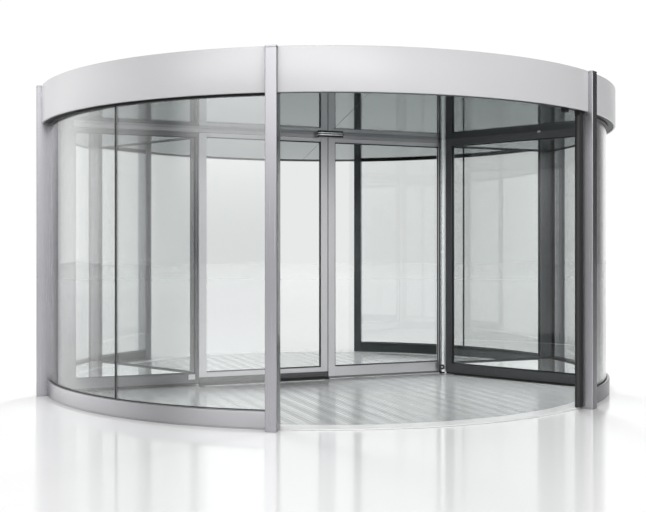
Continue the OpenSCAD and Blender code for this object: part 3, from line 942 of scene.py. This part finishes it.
for side, turn in (("right", 0), ("left", 180)):
    name = "showcase_" + side
    side_line = turned([(side_stile_end, -panel_middle), (side_column, -panel_middle)])
    wing_line = turned([wing_point(wing_stile_end, panel_half), wing_point(wing_column, panel_half)])

    # Corner column, stiles and end columns
    column_core = oblong(1.1440, -0.0835, 1.1615, -0.0300)
    side_stile = oblong(1.1625, -0.0780, side_stile_end, -0.0280)
    wing_stile = [wing_point(s, d) for s, d in ((0.002, 0), (wing_stile_end, 0), (wing_stile_end, 0.05),
                                                (-0.008, 0.05), (-0.008, 0.02))]
    side_end = column_plan((side_column, -panel_middle), Vector((1, 0)))
    wing_tail = column_plan(wing_point(wing_column, panel_half), along_wing)
    posts = bmesh.new()
    for plan in (column_core, side_stile, wing_stile, side_end, wing_tail):
        add_prism(posts, turned(plan), case_foot, case_top)
    finish_piece(name + "_columns", posts, shaded_frame_metal, "rotor", [name + "_posts"],
                 bevel=0.0012, sharp=25)

    # Rounded corner trim, coloured light as a painted highlight on the rounded edge, with the rubber
    # seal that the sliding leaf closes against
    trim_plan = [(1.1610, -0.0630), (1.1610, -0.0850), (1.1590, -0.0850)]
    trim_plan += arc(trim_centre.x, trim_centre.y, trim_round, 270, 180, 9)
    trim = bmesh.new()
    add_prism(trim, turned(trim_plan), case_foot, case_top)
    finish_piece(name + "_corner_trim", trim, highlight_trim_metal, "rotor", sharp=40)
    seal_plan = [(1.1215, -0.0620), (1.1435, -0.0620), (1.1435, -0.0290), (1.1245, -0.0290),
                 (1.1215, -0.0320)]
    seal = bmesh.new()
    add_prism(seal, turned(seal_plan), case_foot, case_top)
    finish_piece(name + "_corner_seal", seal, rubber, "rotor", bevel=0.001)

    # Bottom and top rails
    for rails_name, half_profile, low, high in (("_bottom_rails", rail_half, case_foot, rail_head),
                                                ("_top_rails", head_half, top_rail_foot, case_top)):
        rails = bmesh.new()
        add_bar(rails, *side_line, two_sided(half_profile))
        add_bar(rails, *wing_line, two_sided(half_profile))
        curve_profile = [(curve_inner, low), (curve_outer, low), (curve_outer, high - edge_round),
                         (curve_outer - edge_round, high), (curve_inner + edge_round, high),
                         (curve_inner, high - edge_round)]
        add_curved_bar(rails, curve_profile, (curve_inner + curve_outer) / 2)
        finish_piece(name + rails_name + "_bars", rails, shaded_frame_metal, "rotor",
                     [name + rails_name], bevel=0.0008)

    # Flat and curved panes in their black gaskets
    flat = bmesh.new()
    gasket = bmesh.new()
    for start, end in (side_line, wing_line):
        add_bar(flat, start, end, two_sided(pane_half))
        add_bar(gasket, start, end, two_sided(bead_half))
        add_bar(gasket, start, end, two_sided(top_bead_half))
        along = (Vector(end) - Vector(start)).normalized()
        for post, inward in ((Vector(start), along), (Vector(end), -along)):
            add_bar(gasket, post - inward * 0.001, post + inward * 0.007, two_sided(upright_half))
    finish_piece(name + "_flat_panes", flat, case_glass, "rotor", [name + "_flat_glass"])
    curve_glass_middle = (curve_glass_in + curve_glass_out) / 2
    curved = bmesh.new()
    curved_profile = oblong(curve_glass_in, rail_head, curve_glass_out, top_rail_foot)
    add_curved_bar(curved, curved_profile, curve_glass_middle, 0.75)
    finish_piece(name + "_curved_pane", curved, case_glass, "rotor", [name + "_curved_glass"])
    for low, high in ((rail_head - 0.001, rail_head + 0.006), (top_rail_foot - 0.006, top_rail_foot + 0.001)):
        bead = oblong(curve_glass_in - 0.004, low, curve_glass_out + 0.004, high)
        add_curved_bar(gasket, bead, curve_glass_middle)
    finish_piece(name + "_gaskets", gasket, rubber, "rotor", bevel=0.001)

    # Floor and soffit: glossy panels on a black tray, a little clear of the walls all round
    tray = bmesh.new()
    add_prism(tray, turned(case_floor_plan(tray_margin)), base_foot, base_head - plate_thick)
    add_prism(tray, turned(case_floor_plan(tray_margin)), soffit_foot + plate_thick, soffit_head)
    finish_piece(name + "_trays", tray, black_paint, "rotor")
    base_panel = bmesh.new()
    add_prism(base_panel, turned(case_floor_plan(plate_margin)), base_head - plate_thick, base_head)
    finish_piece(name + "_base_panel", base_panel, case_white.material, "rotor",
                 [name + "_base"], bevel=0.001)
    soffit_panel = bmesh.new()
    add_prism(soffit_panel, turned(case_floor_plan(plate_margin)), soffit_foot, soffit_foot + plate_thick)
    finish_piece(name + "_soffit_panel", soffit_panel, ceiling_gloss, "rotor",
                 [name + "_soffit"], bevel=0.001)

    # Lamp panel under the soffit
    lamp_x, lamp_y = turned([(1.82, -0.62)])[0]
    soft_panel(name + "_lamp", (lamp_x, lamp_y, soffit_foot - 0.01), (lamp_x, lamp_y, 0), 0.7, 0.5, 90)

    # Brush seals: tapered strips under the rails and from the two noses to the drum wall
    side_brush = (Vector((nose_radius - 0.002, -panel_middle)), Vector((brush_tip, -panel_middle)))
    wing_brush = (wing_point(wing_end - 0.002, panel_half), wing_point(radius_on_wing(brush_tip), panel_half))
    brushes = bmesh.new()
    for root, tip in (side_brush, wing_brush):
        along = (tip - root).normalized()
        across = Vector((-along.y, along.x))
        fan = [root + across * brush_root_half, root - across * brush_root_half,
               tip - across * brush_tip_half, tip + across * brush_tip_half]
        add_prism(brushes, turned(fan), brush_foot, case_top)
    under = two_sided([(skirt_root_half, case_foot + 0.001), (skirt_tip_half, brush_foot)])
    add_bar(brushes, *turned([(corner_x - 0.038, -panel_middle), (nose_radius, -panel_middle)]), under)
    add_bar(brushes, *turned([wing_point(0, panel_half), wing_point(wing_end, panel_half)]), under)
    finish_piece(name + "_brush_seals", brushes, brush_fibre, "rotor", [name + "_brushes"])

    # Small fittings: the floor pivot on the corner, its foot, a ceiling clip and a sensor plate
    pivot_cap = bmesh.new()
    add_disc(pivot_cap, 0.024, 0.008)
    finish_piece(name + "_pivot_cap", pivot_cap, rubber, "rotor", sharp=40)
    pivot_pin = bmesh.new()
    add_disc(pivot_pin, 0.008, 0.011)
    finish_piece(name + "_pivot_pin", pivot_pin, bright_rim, "rotor", sharp=40)
    fittings = bmesh.new()
    add_prism(fittings, turned(oblong(1.150, -0.091, 1.168, -0.075)), brush_foot + 0.001, case_foot + 0.002)
    add_prism(fittings, turned(clip_plan(0.97, 0.030, 0.004)), case_top - 0.008, case_top)
    finish_piece(name + "_foot_and_clip", fittings, bright_rim, "rotor", bevel=0.001)
    plate = bmesh.new()
    add_prism(plate, turned(oblong(1.210, -0.0285, 1.268, -0.0262)), 0.064, 0.108)
    finish_piece(name + "_sensor_plate", plate, white_plastic, "rotor", bevel=0.0006)

# ---------------------------------------------------------------------------------------------
# Sliding leaves: two glazed leaves in slim anodised frames, coloured lighter than the other rotor
# frames as painted light, that hang from the header track and meet in the middle with rubber
# seals. Each has a black guide skirt with a flared lip below and a grey sweep brush inside it.
# ---------------------------------------------------------------------------------------------
leaf_low, leaf_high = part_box("leaf_right_frame")
glass_low, glass_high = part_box("leaf_right_glass")
skirt_low, skirt_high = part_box("leaf_right_skirt")
leaf_half = leaf_high.y
# Painted light: the leaf frames are coloured lighter than the rotor's other frames of the same anodising, as
# the lit copy.
lit_leaf_metal = anodised("leaf_frame_painted_light", (0.53, 0.53, 0.545), 0.30)
sweep_fibre = bristles("brush_fibre_grey", 0.16, 0.34)
skirt_gloss = satin_paint("skirt_black", (0.018, 0.018, 0.019), 0.22, coat=0.4)
bar_low = glass_low.x + 0.0005
bar_high = glass_high.x - 0.0005
bead_half_wide = 0.010
seal_reach = 0.0015
seal_root = leaf_low.x + 0.001
seal_foot = leaf_low.x - seal_reach
skirt_root = leaf_half + 0.0005
skirt_face = 0.040
skirt_back = skirt_face - 0.004
skirt_lip = skirt_high.y
flare_head = 0.052
flare_foot = 0.030
leaf_stiles = [oblong(leaf_low.x, -leaf_half, glass_low.x, leaf_half),
               oblong(glass_high.x, -leaf_half, leaf_high.x, leaf_half)]
leaf_beads = [[(bead_half_wide, glass_low.z - 0.001), (bead_half_wide, glass_low.z + 0.005),
               (bead_lip, glass_low.z + 0.009)],
              [(bead_half_wide, glass_high.z + 0.001), (bead_half_wide, glass_high.z - 0.005),
               (bead_lip, glass_high.z - 0.009)]]
meeting_seal = [(seal_foot, -0.012), (seal_root, -0.014), (seal_root, 0.014), (seal_foot, 0.012)]
skirt_profile = [(skirt_root, leaf_low.z + 0.002), (skirt_root, skirt_high.z), (skirt_back, skirt_high.z),
                 (skirt_face - 0.001, skirt_high.z - 0.001), (skirt_face, skirt_high.z - 0.004),
                 (skirt_face, flare_head + 0.004)]
for k in range(7):
    a = k / 6 * math.pi / 2
    skirt_profile.append((skirt_face + (skirt_lip - skirt_face) * (1 - math.cos(a)),
                          flare_head - (flare_head - flare_foot) * math.sin(a)))
skirt_profile += [(skirt_lip, 0.026), (skirt_lip - 0.003, skirt_low.z + 0.002),
                  (skirt_lip - 0.006, skirt_low.z), (skirt_back, skirt_low.z),
                  (skirt_back, 0.034), (skirt_root, 0.036)]
sweep_half = [(brush_root_half, leaf_low.z + 0.001), (brush_tip_half, skirt_low.z)]

for side, turn in (("right", 0), ("left", 180)):
    name = "leaf_" + side
    leaf_line = turned([(leaf_low.x, 0), (leaf_high.x, 0)])
    pane_line = turned([(glass_low.x, 0), (glass_high.x, 0)])
    frame_bars = bmesh.new()
    for stile in leaf_stiles:
        add_prism(frame_bars, turned(stile), leaf_low.z, leaf_high.z)
    for z_low, z_high in ((leaf_low.z, glass_low.z), (glass_high.z, leaf_high.z)):
        add_prism(frame_bars, turned(oblong(bar_low, -leaf_half, bar_high, leaf_half)), z_low, z_high)
    finish_piece(name + "_frame_bars", frame_bars, lit_leaf_metal, name, [name + "_frame"],
                 bevel=0.0018)

    pane = bmesh.new()
    add_bar(pane, *pane_line, two_sided([(glass_high.y, glass_low.z), (glass_high.y, glass_high.z)]))
    finish_piece(name + "_pane", pane, case_glass, name, [name + "_glass"])

    seals = bmesh.new()
    for bead in leaf_beads:
        add_bar(seals, *pane_line, two_sided(bead))
    for x_low, x_high in ((glass_low.x - 0.001, glass_low.x + 0.008),
                          (glass_high.x - 0.002, glass_high.x + 0.001)):
        upright = oblong(x_low, -bead_half_wide, x_high, bead_half_wide)
        add_prism(seals, turned(upright), glass_low.z, glass_high.z)
    add_prism(seals, turned(meeting_seal), leaf_low.z, leaf_high.z)
    finish_piece(name + "_seals", seals, rubber, name, bevel=0.001)

    skirt = bmesh.new()
    add_bar(skirt, *leaf_line, skirt_profile)
    finish_piece(name + "_skirt_cover", skirt, skirt_gloss, name, [name + "_skirt"], sharp=45)
    sweep = bmesh.new()
    add_bar(sweep, *leaf_line, two_sided(sweep_half))
    finish_piece(name + "_sweep_brush", sweep, sweep_fibre, name)
